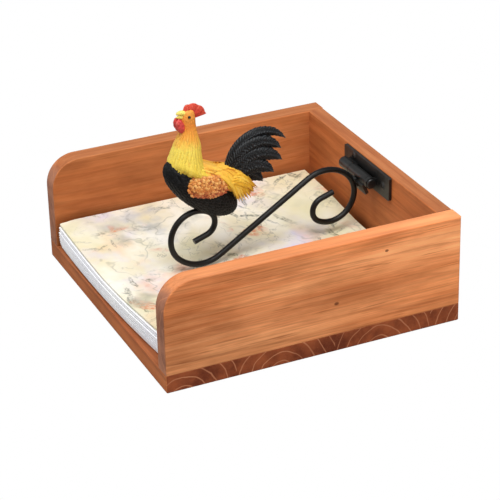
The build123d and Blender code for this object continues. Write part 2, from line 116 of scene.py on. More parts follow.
CAPE_HEM = [                  # lower edge of the cape over the wing: forward, up, sideways
    (8.2, 30.8, 10.8), (4.7, 29.8, 11.4), (1.8, 29.0, 11.8), (-1.8, 27.8, 12.0), (-4.7, 26.7, 12.1),
    (-9.0, 24.7, 12.2), (-13.0, 22.5, 12.2), (-16.6, 20.1, 12.0), (-18.9, 17.1, 11.8), (-20.6, 14.2, 11.8),
]
WATTLE_PLACE, WATTLE_TILT, WATTLE_HALVES, WATTLE_SIDE = (8.5, 58.8), 15.0, (2.6, 4.6, 1.8), 1.6
EYE_PLACE, EYE_HALVES, EYE_SIDE = (3.4, 64.2), (0.85, 0.85, 0.7), 3.85
COMB_PLACE, COMB_ROOT = (2.6, 61.2), 2.4
BEAK = (                      # root, middle, tip, radius of the upper and the lower half
    ((-4.6, 65.4), (-8.2, 66.9), (-10.4, 66.1), 2.2),
    ((-4.8, 63.1), (-8.0, 63.9), (-10.4, 64.2), 1.75),
)
# where a row starts, how many feathers it has and how long they are, in shares of the form
FEATHER_ROWS = ((0.42, 20, 0.26), (0.55, 24, 0.26), (0.67, 26, 0.25), (0.79, 28, 0.24), (0.86, 30, 0.215))
SADDLE_ROWS = ((0.04, 15, 0.34), (0.20, 16, 0.36), (0.36, 17, 0.38), (0.52, 16, 0.40), (0.64, 14, 0.40))
QUILLS = (                    # across and along the wing, length
    (0.30, 0.66, 0.42), (0.12, 0.64, 0.48), (-0.06, 0.62, 0.44), (-0.26, 0.54, 0.40),
)

# ---------------------------------------------------------------- paints
PAINTS = {                    # colours from the lowest point to the highest, then painted shade for the grooves and painted highlights for the ridges
    "feather_black": dict(
        marks=((0.0, 7, 6, 6), (1.0, 10, 11, 12)), dark=(2, 2, 2), light=(36, 38, 40),
        low_z=55, high_z=115, gloss=0.50, grain=1100.0, depth=0.9, shine=0.22,
    ),
    "hackle_yellow": dict(
        marks=(
            (0.0, 236, 176, 44), (0.12, 238, 206, 72), (0.48, 240, 214, 92),
            (0.62, 240, 170, 66), (0.78, 236, 140, 56), (1.0, 240, 156, 74),
        ),
        dark=(226, 168, 58), light=(250, 230, 128),
        low_z=86, high_z=132, gloss=0.5, grain=1100.0, depth=0.3, shine=0.25,
    ),
    "wing_brown": dict(
        marks=((0.0, 204, 84, 62), (0.25, 210, 108, 66), (0.5, 222, 140, 64), (1.0, 226, 150, 70)),
        dark=(150, 68, 30), light=(252, 204, 122), low_z=74, high_z=94, gloss=0.5,
    ),
    "saddle_gold": dict(
        marks=((0.0, 222, 158, 36), (0.45, 240, 186, 52), (1.0, 246, 186, 82)),
        dark=(190, 106, 22), light=(253, 222, 110), low_z=68, high_z=98, gloss=0.5, shine=0.25,
    ),
    "tail_black": dict(
        marks=((0.0, 10, 10, 11), (1.0, 13, 15, 17)), dark=(1, 1, 1), light=(84, 90, 94),
        low_z=70, high_z=106, gloss=0.46, grain=1100.0, depth=0.6, shine=0.3,
    ),
    "comb_red": dict(
        marks=((0.0, 206, 56, 44), (1.0, 214, 70, 50)), dark=(160, 34, 30), light=(232, 116, 84),
        low_z=122, high_z=134, gloss=0.5,
    ),
    "wattle_red": dict(
        marks=((0.0, 226, 88, 82), (1.0, 214, 66, 60)), dark=(160, 36, 36), light=(240, 130, 116),
        low_z=116, high_z=128,
    ),
    "beak_yellow": dict(
        marks=((0.0, 238, 214, 92), (1.0, 244, 224, 112)), dark=(206, 164, 60), light=(250, 240, 170),
        low_z=124, high_z=132,
    ),
    "eye_black": dict(
        marks=((0.0, 16, 12, 12), (1.0, 24, 20, 20)), dark=(8, 6, 6), light=(40, 36, 36),
        low_z=120, high_z=132, gloss=0.12,
    ),
}


# ================================================================ meshes
def in_frame(points):
    """Figure points in millimetres to the row frame in metres, turned with the arm."""
    x, y, z = np.moveaxis(np.asarray(points, float), -1, 0)
    reach = SEAT[0] + y - PIN_Y
    c, s = math.cos(ARM_YAW), math.sin(ARM_YAW)
    return np.stack([x * c - reach * s, PIN_Y + x * s + reach * c, SEAT[1] + z], -1) * MM


def as_is(points):
    return np.asarray(points, float) * MM


def placed(name, data):
    """A new object of the scene."""
    obj = bpy.data.objects.new(name, data)
    scene.collection.objects.link(obj)
    return obj


class Clay:
    """Collects grids of points into one mesh, with a tint for every point."""

    def __init__(self):
        self.points, self.faces, self.tints, self.count = [], [], [], 0

    def grid(self, points, closed=False, tint=0.5):
        points = np.asarray(points, float)
        rows, columns = points.shape[:2]
        start = self.count
        self.points.append(points.reshape(-1, 3))
        self.tints.append(np.broadcast_to(tint, (rows, columns)).reshape(-1))
        self.count += rows * columns
        for i in range(rows - 1):
            for j in range(columns if closed else columns - 1):
                k = (j + 1) % columns
                at = start + i * columns
                self.faces.append((at + j, at + k, at + columns + k, at + columns + j))

    def tube(self, points, tint):
        """A grid that closes on itself, with both ends filled."""
        self.grid(points, closed=True, tint=tint)
        rows, columns = np.shape(points)[:2]
        for start in (self.count - rows * columns, self.count - columns):
            self.faces.append(tuple(range(start, start + columns)))

    def piece(self, name, material, body, slot, place=in_frame, replaces=()):
        mesh = bpy.data.meshes.new(name)
        mesh.from_pydata(place(np.concatenate(self.points)).tolist(), [], self.faces)
        tint = mesh.attributes.new("tint", "FLOAT", "POINT")
        tint.data.foreach_set("value", np.concatenate(self.tints).astype(np.float32))
        mesh.polygons.foreach_set("use_smooth", [True] * len(mesh.polygons))
        mesh.update()
        mesh.materials.append(material)
        obj = placed(name, mesh)
        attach(obj, body)
        if replaces:
            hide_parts(*replaces)
        return obj


def smooth_step(value, low, high):
    t = np.clip((np.asarray(value, float) - low) / (high - low), 0, 1)
    return t * t * (3 - 2 * t)


def rough(points, scale, octaves=2):
    """Noise from -1 to 1 at each point."""
    flat = np.asarray(points, float).reshape(-1, 3) * scale
    values = [noise.fractal(Vector(p), 0.6, 2.1, octaves) for p in flat]
    return np.array(values).reshape(np.asarray(points).shape[:-1])


def curve_rows(rows, k):
    """Smooth curve through rows of numbers at index k, running on straight past both ends."""
    rows, k = np.asarray(rows, float), np.asarray(k, float)
    i = np.clip(np.floor(k).astype(int), 0, len(rows) - 2)
    t = (k - i)[..., None]
    before, a = rows[np.maximum(i - 1, 0)], rows[i]
    b, after = rows[i + 1], rows[np.minimum(i + 2, len(rows) - 1)]
    m, n = (b - before) / 2, (after - a) / 2
    inside = np.clip(t, 0, 1)
    bend = (
        (2 * inside**3 - 3 * inside**2 + 1) * a + (inside**3 - 2 * inside**2 + inside) * m
        + (3 * inside**2 - 2 * inside**3) * b + (inside**3 - inside**2) * n
    )
    return bend + np.minimum(t, 0) * m + np.maximum(t - 1, 0) * n


class Loft:
    """Surface through elliptical sections: u goes round in turns, v from the first to the last."""

    def __init__(self, sections):
        self.sections = sections

    def at(self, u, v):
        u, v = np.broadcast_arrays(np.asarray(u, float), np.asarray(v, float))
        forward, up, tilt, length, width = np.moveaxis(
            curve_rows(self.sections, v * (len(self.sections) - 1)), -1, 0
        )
        angle, tilt = 2 * math.pi * u, np.radians(tilt)
        along = length * np.sin(angle)
        return np.stack(
            [width * np.cos(angle), -forward + along * np.sin(tilt), up - along * np.cos(tilt)], -1
        )

    def normal(self, u, v):
        step = 0.004
        across = self.at(u + step, v) - self.at(u - step, v)
        down = self.at(u, v + step) - self.at(u, v - step)
        n = np.cross(across, down)
        n /= np.maximum(np.linalg.norm(n, axis=-1, keepdims=True), 1e-9)
        middle = (self.at(u, v) + self.at(np.asarray(u) + 0.5, v)) / 2
        out = np.sign((n * (self.at(u, v) - middle)).sum(-1, keepdims=True))
        return n * np.where(out == 0, 1, out)


class Ellipsoid:
    """Surface of a tilted ellipsoid; u goes round its length, v from end to end."""

    def __init__(self, place, tilt, halves, side=0.0):
        self.middle = np.array([side, -place[0], place[1]])
        self.halves = np.array([halves[2], halves[0], halves[1]])
        c, s = math.cos(math.radians(tilt)), math.sin(math.radians(tilt))
        self.turn = np.array([[1, 0, 0], [0, c, -s], [0, s, c]])

    def from_unit(self, unit):
        return (np.asarray(unit) * self.halves) @ self.turn.T + self.middle

    def unit_normal(self, unit):
        n = (np.asarray(unit) / self.halves) @ self.turn.T
        return n / np.linalg.norm(n, axis=-1, keepdims=True)

    def unit(self, u, v):
        u, v = np.broadcast_arrays(np.asarray(u, float), np.asarray(v, float))
        a, b = 2 * math.pi * u, math.pi * v
        return np.stack([np.sin(b) * np.cos(a), -np.cos(b), np.sin(b) * np.sin(a)], -1)

    def at(self, u, v):
        return self.from_unit(self.unit(u, v))

    def normal(self, u, v):
        return self.unit_normal(self.unit(u, v))


LEAF_ALONG = np.array([0, 0.05, 0.2, 0.4, 0.6, 0.75, 0.87, 0.95, 0.985, 1.0])
LEAF_ACROSS = np.array([-1, -0.86, -0.45, -0.08, 0, 0.08, 0.45, 0.86, 1])


def leaf_outline(blunt):
    """Half width of a feather along its length, round or pointed at the tip."""
    grow = np.sqrt(np.clip(LEAF_ALONG / 0.25, 0, 1))
    end = np.clip((LEAF_ALONG - 0.5) / 0.5, 0, 1)
    return grow * (1 - end**blunt) ** 0.8


def leaf(clay, place, along, across, lift, dome, tint, blunt=2.2, sweep=0.0):
    """Feather on a surface: place(a, b) gives points and normals for shares along and across."""
    a = LEAF_ALONG[:, None] + 0 * LEAF_ACROSS[None, :]
    b = leaf_outline(blunt)[:, None] * LEAF_ACROSS[None, :]
    points, normals = place(a * along + 0 * b, b * across + sweep * a**2)
    edge = 1 - np.abs(LEAF_ACROSS[None, :]) ** 3
    height = lift * a + dome * edge * np.sin(np.clip(a * 1.15, 0, 1) * math.pi / 2)
    height = height + 0.10 * dome * (np.abs(LEAF_ACROSS[None, :]) < 0.05)
    rim = (np.abs(LEAF_ACROSS[None, :]) > 0.99) | (a > 0.995) | (a < 0.001)
    height = np.where(rim, -0.25, height)
    # painted shade at the feather's edges and root, lighter towards its tip
    shade = tint + 0.25 * (a - 0.5) - 0.18 * (np.abs(LEAF_ACROSS[None, :]) ** 2)
    clay.grid(points + normals * height[..., None], tint=shade)


def bend_through(first, middle, last, t):
    """Points on the curve that leaves the first place towards the middle one and ends at the last."""
    p, q, r = [np.array(place, float) for place in (first, middle, last)]
    t = np.asarray(t)[:, None]
    return (1 - t) ** 2 * p + 2 * t * (1 - t) * q + t**2 * r


def ribbon(clay, ends, width, thick, tint, outward, rows=18, around=12):
    """Tapered strand along a bend through three places, flat against what it lies on."""
    a = np.linspace(0, 1, rows)
    line = bend_through(*ends, a)
    run = np.gradient(line, axis=0)
    run /= np.linalg.norm(run, axis=1, keepdims=True)
    side = np.cross(run, outward)
    side /= np.linalg.norm(side, axis=1, keepdims=True)
    out = np.cross(side, run)
    taper = np.sqrt(np.clip(a / 0.15, 0.2, 1)) * (1 - np.clip((a - 0.45) / 0.55, 0, 1) ** 2.0) + 0.03
    ring = np.linspace(0, 2 * math.pi, around, endpoint=False)
    groove = 1 - 0.25 * np.cos(3 * ring) ** 2
    across = (np.cos(ring) * width / 2)[None, :, None] * taper[:, None, None] * side[:, None, :]
    above = (np.sin(ring) * thick / 2 * groove)[None, :, None] * (0.4 + 0.6 * taper)[:, None, None]
    # painted shade along the strand's sides, lighter towards its tip
    shade = tint + 0.3 * (a[:, None] - 0.5) - 0.12 * np.abs(np.cos(ring))[None, :]
    clay.tube(line[:, None, :] + across + above * out[:, None, :], shade)


# ================================================================ materials
def srgb(red, green, blue):
    """Linear colour of an 8-bit one."""
    return tuple(
        c / 12.92 if c <= 0.04045 else ((c + 0.055) / 1.055) ** 2.4
        for c in (red / 255, green / 255, blue / 255)
    ) + (1.0,)


class Shade:
    """One material's node tree."""

    def __init__(self, name, roughness=0.5, specular=0.4):
        self.material = bpy.data.materials.new(name)
        self.material.use_nodes = True
        self.tree = self.material.node_tree
        self.surface = self.tree.nodes["Principled BSDF"]
        self.put(self.surface.inputs["Roughness"], roughness)
        self.put(self.surface.inputs["Specular IOR Level"], specular)

    def put(self, socket, value):
        if isinstance(value, bpy.types.NodeSocket):
            self.tree.links.new(value, socket)
        elif value is not None:
            socket.default_value = value

    def node(self, kind, inputs=(), **settings):
        made = self.tree.nodes.new("ShaderNode" + kind)
        for key, value in settings.items():
            setattr(made, key, value)
        pairs = inputs.items() if isinstance(inputs, dict) else enumerate(inputs)
        for key, value in pairs:
            self.put(made.inputs[key], value)
        return made

    def maths(self, operation, *values):
        return self.node("Math", values, operation=operation).outputs[0]

    def add(self, a, b):
        return self.maths("ADD", a, b)

    def minus(self, a, b):
        return self.maths("SUBTRACT", a, b)

    def times(self, a, b):
        return self.maths("MULTIPLY", a, b)

    def vector(self, operation, a, b):
        return self.node("VectorMath", [a, b], operation=operation).outputs[0]

    def coordinates(self, which="Object"):
        return self.node("TexCoord").outputs[which]

    def split(self, vector):
        return self.node("SeparateXYZ", [vector]).outputs

    def join(self, x, y, z):
        return self.node("CombineXYZ", [x, y, z]).outputs[0]

    def stretch(self, vector, scale, place=(0, 0, 0)):
        return self.node("Mapping", {"Vector": vector, "Scale": scale, "Location": place}).outputs[0]

    def noise(self, vector, scale, detail=2.0, roughness=0.5):
        inputs = {"Vector": vector, "Scale": scale, "Detail": detail, "Roughness": roughness}
        return self.node("TexNoise", inputs).outputs[0]

    def ramp(self, value, stops, smooth=False):
        made = self.node("ValToRGB", [value])
        ramp = made.color_ramp
        ramp.interpolation = "EASE" if smooth else "LINEAR"
        while len(ramp.elements) < len(stops):
            ramp.elements.new(0.5)
        for element, (place, colour) in zip(ramp.elements, stops):
            element.position = place
            element.color = colour if isinstance(colour, tuple) else (colour, colour, colour, 1)
        return made.outputs[0]

    def mix(self, factor, a, b, kind="MIX"):
        made = self.node("Mix", data_type="RGBA", blend_type=kind)
        self.put(made.inputs[0], factor)
        self.put(made.inputs[6], a)
        self.put(made.inputs[7], b)
        return made.outputs[2]

    def stain(self, colour, value, stops):
        """The colour times a ramp over a value."""
        return self.mix(1.0, colour, self.ramp(value, stops), "MULTIPLY")

    def tint(self):
        return self.node("Attribute", attribute_name="tint").outputs["Fac"]

    def finish(self, colour, bump, strength=0.2, distance=0.0004, roughness=None):
        self.put(self.surface.inputs["Base Color"], colour)
        self.put(self.surface.inputs["Roughness"], roughness)
        inputs = {"Height": bump, "Strength": strength, "Distance": distance}
        self.put(self.surface.inputs["Normal"], self.node("Bump", inputs).outputs["Normal"])
        return self.material


PINE_LIGHT, PINE_MID, PINE_DARK = srgb(234, 162, 108), srgb(213, 130, 76), srgb(146, 74, 34)
PINE_END, PINE_END_DARK = srgb(186, 126, 96), srgb(146, 94, 70)
# painted shade: plain and late wood colours of a board's shaded side
PINE_SHADED_SIDE, SHADED_SIDE_LATE = srgb(180, 100, 50), srgb(128, 62, 26)
RING_LINE, PORES, KNOT = srgb(206, 136, 96), srgb(150, 92, 60), srgb(92, 42, 20)
SLOW, FAST, FIBRE = (26.0, 4.0), (90.0, 9.0), (1500.0, 24.0)        # across and along the grain
STREAK, PATCHES, DASH = (300.0, 9.0), (60.0, 16.0), (700.0, 34.0)
LATE_WOOD = [(0.0, 0.10), (0.45, 0.0), (0.78, 0.45), (0.92, 1.0), (1.0, 0.12)]
PALE_RING = [(0.0, 0.0), (0.42, 0.0), (0.48, 0.8), (0.52, 0.8), (0.58, 0.0), (1.0, 0.0)]
STREAK_STAIN, PATCH_STAIN, FULL_STAIN = (0.78, 0.62, 0.52, 1), (0.80, 0.74, 0.68, 1), (1.08, 1.08, 1.08, 1)
KNOT_SCALE = (1.0, 0.55, 0.8)


class Pine:
    """Solid pine: rings about a pith line along the grain, cut by each face as a saw would."""

    def __init__(self, name, grain, seed):
        self.s = s = Shade(name, roughness=0.5, specular=0.2)
        self.seed = seed
        self.along = "XYZ".index(grain)
        self.place = s.coordinates()
        self.axes = s.split(self.place)
        self.faces = s.split(s.coordinates("Normal"))
        self.ripple = s.minus(s.noise(self.drawn(FAST, (seed, 0, 0)), 1.0, 2.0), 0.5)
        self.fine = s.noise(self.drawn(FIBRE), 1.0, 3.0)
        self.band = s.noise(self.drawn(STREAK, (seed, 1, 4)), 1.0, 3.0)
        self.patch = s.noise(self.drawn(PATCHES, (seed, 6, 1)), 1.0, 4.0, 0.62)
        strength = s.noise(self.drawn(SLOW, (seed + 9, 0, 3)), 1.7, 2.0)
        self.vary = s.ramp(strength, [(0.3, 0.35), (0.7, 1.0)])

    def drawn(self, scales, shift=(0, 0, 0)):
        """Coordinates drawn out along the grain."""
        scale = [scales[0]] * 3
        scale[self.along] = scales[1]
        return self.s.stretch(self.place, scale, shift)

    def rings(self, pith, pitch, tilt, plank, waver):
        """How far each point is from one ring to the next, from 0 to 1."""
        s = self.s
        across = [i for i in range(3) if i != self.along]
        squares = []
        for axis, centre, lean in zip(across, pith, tilt):
            value = self.axes[axis]
            if plank is not None and axis == across[0]:
                value = s.maths("FLOORED_MODULO", s.add(value, 0.5), plank)
            offset = s.add(s.minus(value, centre), s.times(self.axes[self.along], lean))
            squares.append(s.times(offset, offset))
        wander = s.minus(s.noise(self.drawn(SLOW, (self.seed,) * 3), 1.0, 3.0), 0.5)
        radius = s.add(s.maths("SQRT", s.add(*squares)), s.times(wander, waver))
        radius = s.add(radius, s.times(self.ripple, waver * 0.19))
        return s.maths("FRACT", s.maths("DIVIDE", radius, pitch))

    def long_face(self, late, top, fade):
        """Streaked and blotched wood, with painted light and shade: it fades along the grain, lightens
        upwards and takes a set colour on upward faces.
        """
        s, seed = self.s, self.seed
        blotch = s.noise(self.drawn(SLOW, (5, seed, 2)), 1.3, 4.0)
        colour = s.mix(s.ramp(blotch, [(0.35, 0.0), (0.65, 1.0)]), PINE_LIGHT, PINE_MID)
        colour = s.mix(s.times(late, 0.72), colour, PINE_DARK)
        colour = s.stain(colour, self.fine, [(0.25, 0.80), (0.6, 1.04)])
        colour = s.stain(colour, self.band, [(0.28, STREAK_STAIN), (0.62, FULL_STAIN)])
        colour = s.stain(colour, self.patch, [(0.36, PATCH_STAIN), (0.60, FULL_STAIN)])
        dashes = s.noise(self.drawn(DASH, (2, seed, 7)), 1.0, 2.0)
        colour = s.mix(s.ramp(dashes, [(0.62, 0.0), (0.74, 0.55)]), colour, PINE_DARK)
        # painted light and shade: upward faces take the board's top colour, set for how light falls on them
        colour = s.mix(s.ramp(self.faces[2], [(0.6, 0.0), (0.9, 0.5)]), colour, top)
        # painted light and shade along the grain from the two fade values, and painted light upwards
        painted_light_along = s.node("MapRange", [self.axes[self.along], -0.09, 0.09, *fade]).outputs[0]
        painted_light_upwards = s.node("MapRange", [self.axes[2], 0.012, 0.066, 0.95, 1.12]).outputs[0]
        level = s.times(painted_light_along, painted_light_upwards)
        return s.mix(1.0, colour, s.join(level, level, level), "MULTIPLY")

    def end_face(self, ring, light, dark):
        """End grain with pale ring lines."""
        s = self.s
        colour = s.mix(s.ramp(self.patch, [(0.35, 0.0), (0.65, 1.0)]), dark, light)
        colour = s.mix(s.times(s.ramp(ring, PALE_RING), self.vary), colour, RING_LINE)
        return s.mix(s.ramp(self.fine, [(0.5, 0.0), (0.8, 0.35)]), colour, PORES)

    # painted shade: the colour of the board's shaded side
    def shaded_side_colour(self, late):
        colour = self.s.stain(PINE_SHADED_SIDE, self.patch, [(0.36, 0.74), (0.62, 1.12)])
        return self.s.mix(late, colour, SHADED_SIDE_LATE)

    def knot(self, colour, spot, size):
        s = self.s
        centre = tuple(k * w for k, w in zip(spot, KNOT_SCALE))
        pair = [s.stretch(self.place, KNOT_SCALE), centre]
        distance = s.node("VectorMath", pair, operation="DISTANCE").outputs["Value"]
        distance = s.add(distance, s.times(self.ripple, 0.0016))
        core = s.ramp(s.maths("DIVIDE", distance, size), [(0.45, 1.0), (1.0, 0.0)], True)
        return s.mix(s.times(core, 0.8), colour, KNOT)


def pine(name, grain, pith, pitch, shaded_side, top, tilt=(0.0, 0.0), knots=(), seed=0.0, contrast=0.6,
         plank=None, waver=0.022, end=PINE_END, end_dark=PINE_END_DARK, fade=(1.0, 1.0)):
    """Material of one board; the face given by an axis and sign is darkened with painted shade."""
    wood = Pine(name, grain, seed)
    s = wood.s
    ring = wood.rings(pith, pitch, tilt, plank, waver)
    late = s.times(s.ramp(ring, LATE_WOOD), s.times(wood.vary, contrast))
    is_end = s.ramp(s.maths("ABSOLUTE", wood.faces[wood.along]), [(0.6, 0.0), (0.85, 1.0)])
    colour = s.mix(is_end, wood.long_face(late, top, fade), wood.end_face(ring, end, end_dark))
    axis, sign = shaded_side
    # painted shade on the face given by axis and sign
    on_shaded_side = s.ramp(s.times(wood.faces[axis], sign), [(0.6, 0.0), (0.9, 0.62)])
    colour = s.mix(on_shaded_side, colour, wood.shaded_side_colour(late))
    for *spot, size in knots:
        colour = wood.knot(colour, spot, size)
    height = s.add(s.times(wood.fine, 0.6), s.times(late, 0.5))
    gloss = s.add(0.50, s.times(wood.band, 0.2))
    return s.finish(colour, height, 0.28, 0.0002, gloss)


def black_metal(name, shine, tone):
    """Satin black paint, greyer where it is worn."""
    s = Shade(name, specular=shine)
    place = s.coordinates()
    grit = s.noise(place, 2600.0, 2.0)
    colour = s.ramp(s.noise(place, 120.0, 3.0), [(0.3, srgb(8, 7, 6)), (0.7, tone)])
    gloss = s.ramp(s.noise(place, 300.0, 2.0), [(0.3, 0.32), (0.7, 0.46)])
    return s.finish(colour, grit, 0.16, 0.0001, gloss)


def dowel_wood():
    s = Shade("dowel_wood", 0.7)
    fine = s.noise(s.stretch(s.coordinates(), (900, 900, 60)), 1.0, 3.0)
    return s.finish(s.ramp(fine, [(0.3, srgb(190, 158, 112)), (0.7, srgb(226, 200, 158))]), fine, 0.2)


def painted(name, marks, dark, light, low_z, high_z, gloss=0.42, grain=900.0, depth=0.35, shine=0.4):
    """Painted resin: a height gradient, with painted shade in the grooves and painted highlights on the
    ridges.
    """
    s = Shade(name, gloss, shine)
    place = s.coordinates()
    height = s.node("MapRange", [s.split(place)[2], low_z * MM, high_z * MM, 0.0, 1.0]).outputs[0]
    height = s.add(height, s.times(s.minus(s.noise(place, 260.0), 0.5), 0.16))
    colour = s.ramp(height, [(share, srgb(*hue)) for share, *hue in marks])
    # the tint carries a tone per feather, painted shade where it is low, in grooves, and painted highlights
    # where it is high, on ridges
    tone = s.tint()
    colour = s.mix(s.ramp(tone, [(0.05, 0.85), (0.45, 0.0)]), colour, srgb(*dark))
    colour = s.mix(s.ramp(tone, [(0.55, 0.0), (1.0, 0.75)]), colour, srgb(*light))
    mottle = s.noise(place, grain, 3.0)
    colour = s.stain(colour, mottle, [(0.3, 0.84), (0.65, 1.05)])
    return s.finish(colour, mottle, depth, 0.0003)


PEN_GREY = srgb(120, 122, 110)
FULL_TURN = 6.28
SAME = (1, 1, 1)
WASHES = (                    # shift, scale, colour, noise where it starts and where it is full, strength
    ((0.3, 0.7, 0.0), 17.0, (214, 206, 226), 0.52, 0.66, 0.8),
    ((2.3, 1.1, 0.0), 15.0, (238, 186, 142), 0.58, 0.68, 0.55),
    ((4.9, 3.7, 0.0), 19.0, (228, 132, 104), 0.62, 0.72, 0.6),
    ((7.7, 0.4, 0.0), 18.0, (150, 160, 184), 0.61, 0.74, 0.6),
    ((1.7, 5.9, 0.0), 13.0, (220, 214, 172), 0.53, 0.66, 0.7),
    ((6.2, 8.3, 0.0), 24.0, (140, 144, 134), 0.58, 0.74, 0.7),
)
SPRIGS = (                    # shift, scale, colour, length and half width of a leaf in its cell
    ((0.1, 0.2, 0.0), 46.0, (92, 98, 86), 0.48, 0.085),
    ((3.1, 1.2, 0.0), 64.0, (84, 88, 88), 0.50, 0.07),
    ((9.4, 4.1, 0.0), 38.0, (112, 110, 88), 0.46, 0.10),
    ((5.3, 2.6, 0.0), 27.0, (218, 132, 96), 0.30, 0.20),
)
PEN_LINES = (((8, 3, 0), 26.0, 0.35), ((2, 7, 0), 58.0, 0.40))      # shift, scale, strength


def shaken(s, vector):
    """Moves each place a little, as an unsteady brush does."""
    shake = s.node("TexNoise", {"Vector": vector, "Scale": 4.0, "Detail": 3.0}).outputs["Color"]
    shake = s.vector("SUBTRACT", shake, (0.5, 0.5, 0.5))
    return s.vector("ADD", vector, s.vector("MULTIPLY", shake, (0.22, 0.22, 0.0)))


def leaf_mask(s, place, length, width):
    """One small leaf in each cell, turned at random, with a pale vein."""
    cell = s.node("TexVoronoi", {"Vector": place, "Scale": 1.0}, voronoi_dimensions="2D")
    away = s.vector("SUBTRACT", place, cell.outputs["Position"])
    angle = s.times(s.split(cell.outputs["Color"])[0], FULL_TURN)
    turned = s.node("VectorRotate", {"Vector": away, "Angle": angle}, rotation_type="Z_AXIS").outputs[0]
    u, v, _ = s.split(turned)
    reach, aside = s.maths("DIVIDE", u, length), s.maths("ABSOLUTE", v)
    inside = s.minus(s.times(s.minus(1.0, s.times(reach, reach)), width), aside)
    vein = s.ramp(s.times(aside, 40.0), [(0.15, 0.35), (0.6, 1.0)])
    return s.times(s.ramp(s.times(inside, 24.0), [(0.0, 0.0), (0.9, 1.0)]), vein)


def print_colour(s, place, cloud):
    """Pale washes with sketchy leaves and pen lines over them."""
    x, y, _ = s.split(place)
    flat = s.join(x, y, 0.0)
    colour = s.ramp(cloud, [(0.3, srgb(228, 216, 180)), (0.7, srgb(246, 242, 232))])
    for shift, scale, hue, low, high, strength in WASHES:
        patch = s.noise(s.stretch(flat, SAME, shift), scale, 4.0, 0.55)
        colour = s.mix(s.ramp(patch, [(low, 0.0), (high, strength)]), colour, srgb(*hue))
    for shift, scale, hue, length, width in SPRIGS:
        moved = shaken(s, s.stretch(flat, (scale, scale, 1), shift))
        kept = s.ramp(s.noise(flat, 22.0 + scale * 0.1, 2.0), [(0.47, 0.0), (0.58, 0.85)])
        sketch = s.ramp(s.noise(moved, 11.0, 3.0), [(0.38, 0.2), (0.6, 1.0)])
        mask = s.times(leaf_mask(s, moved, length, width), s.times(kept, sketch))
        colour = s.mix(mask, colour, srgb(*hue))
    for shift, scale, strength in PEN_LINES:
        moved = s.stretch(flat, SAME, shift)
        aside = s.maths("ABSOLUTE", s.minus(s.noise(moved, scale, 3.0), 0.5))
        there = s.ramp(s.noise(moved, 30.0, 2.0), [(0.46, 0.0), (0.60, 1.0)])
        line = s.times(s.ramp(aside, [(0.002, strength), (0.012, 0.0)]), there)
        colour = s.mix(line, colour, PEN_GREY)
    return colour


def tissue(name, printed):
    """Soft tissue paper, plain or printed."""
    s = Shade(name, 0.95, 0.12)
    place = s.coordinates()
    pulp = s.noise(place, 1400.0, 3.0)
    cloud = s.noise(place, 40.0, 3.0)
    if printed:
        colour = print_colour(s, place, cloud)
    else:
        colour = s.ramp(cloud, [(0.3, srgb(246, 246, 252)), (0.7, srgb(254, 254, 254))])
    return s.finish(colour, pulp, 0.08, 0.0003)


# ================================================================ cockerel
def round_grid(around, rows, margin=0.0):
    """Places over a closed form: u goes round, v from end to end within a margin."""
    return np.meshgrid(np.linspace(0, 1, around, endpoint=False), np.linspace(margin, 1 - margin, rows))


def laid_at(form, u0, v0):
    """Points and normals on a form, by how far they are from one place on it."""
    def at(a, b):
        return form.at(u0 + b, v0 + a), form.normal(u0 + b, v0 + a)
    return at


def body_piece(material):
    """The black body with rows of small feathers; returns its surface for others to lie on."""
    form = Ellipsoid(BODY_PLACE, BODY_TILT, BODY_HALVES)
    u, v = round_grid(170, 110, 0.002)
    points = form.at(u, v)
    bumps = 0.22 * rough(points, 0.75, 3) + 0.26 * rough(points, 1.9)
    points = points + form.normal(u, v) * bumps[..., None]
    clay = Clay()
    # tint: painted highlights on the bumps, painted shade between them
    clay.tube(points, 0.5 + bumps * 1.2)
    for row in range(FEATHERED_ROWS):
        v0 = 0.20 + 0.72 * row / FEATHERED_ROWS
        count = max(10, int(FEATHERS_ROUND * math.sin(math.pi * v0)))
        for i in range(count):
            u0 = (i + 0.5 * (row % 2) + random.uniform(-0.2, 0.2)) / count
            place = laid_at(form, u0, v0 + random.uniform(-0.006, 0.006))
            long, tint = random.uniform(0.036, 0.048), random.uniform(0.3, 0.8)
            leaf(clay, place, long, 0.52 / count, 0.22, 0.30, tint, 2.6)
    clay.piece("cockerel_body", material, "arm", "feather_black", replaces=["rooster_body"])
    coarse = Clay()
    coarse.grid(points[::2, ::2], closed=True)
    return BVHTree.FromPolygons([Vector(p) for p in coarse.points[0]], coarse.faces)


def laid_on(tree, points, share, stand):
    """Pulls points down on a surface by a share from 0 to 1."""
    flat = points.reshape(-1, 3).copy()
    for i, part in enumerate(np.broadcast_to(share, points.shape[:-1]).reshape(-1)):
        if part > 0.01:
            spot, normal, _, _ = tree.find_nearest(Vector(flat[i]))
            flat[i] += (np.array(spot + normal * stand) - flat[i]) * part
    return flat.reshape(points.shape)


def hem_share(form, columns=240):
    """For each direction round the neck, the v at which its feathers end."""
    u = np.linspace(0, 1, columns)
    v = np.linspace(0, 1, 300)
    points = form.at(u[None, :], v[:, None])
    over = points[..., 2] - (HEM_UP + (-points[..., 1] - HEM_FORWARD) * HEM_SLOPE)
    first = np.argmax(over < 0, axis=0)
    return u, v[first]


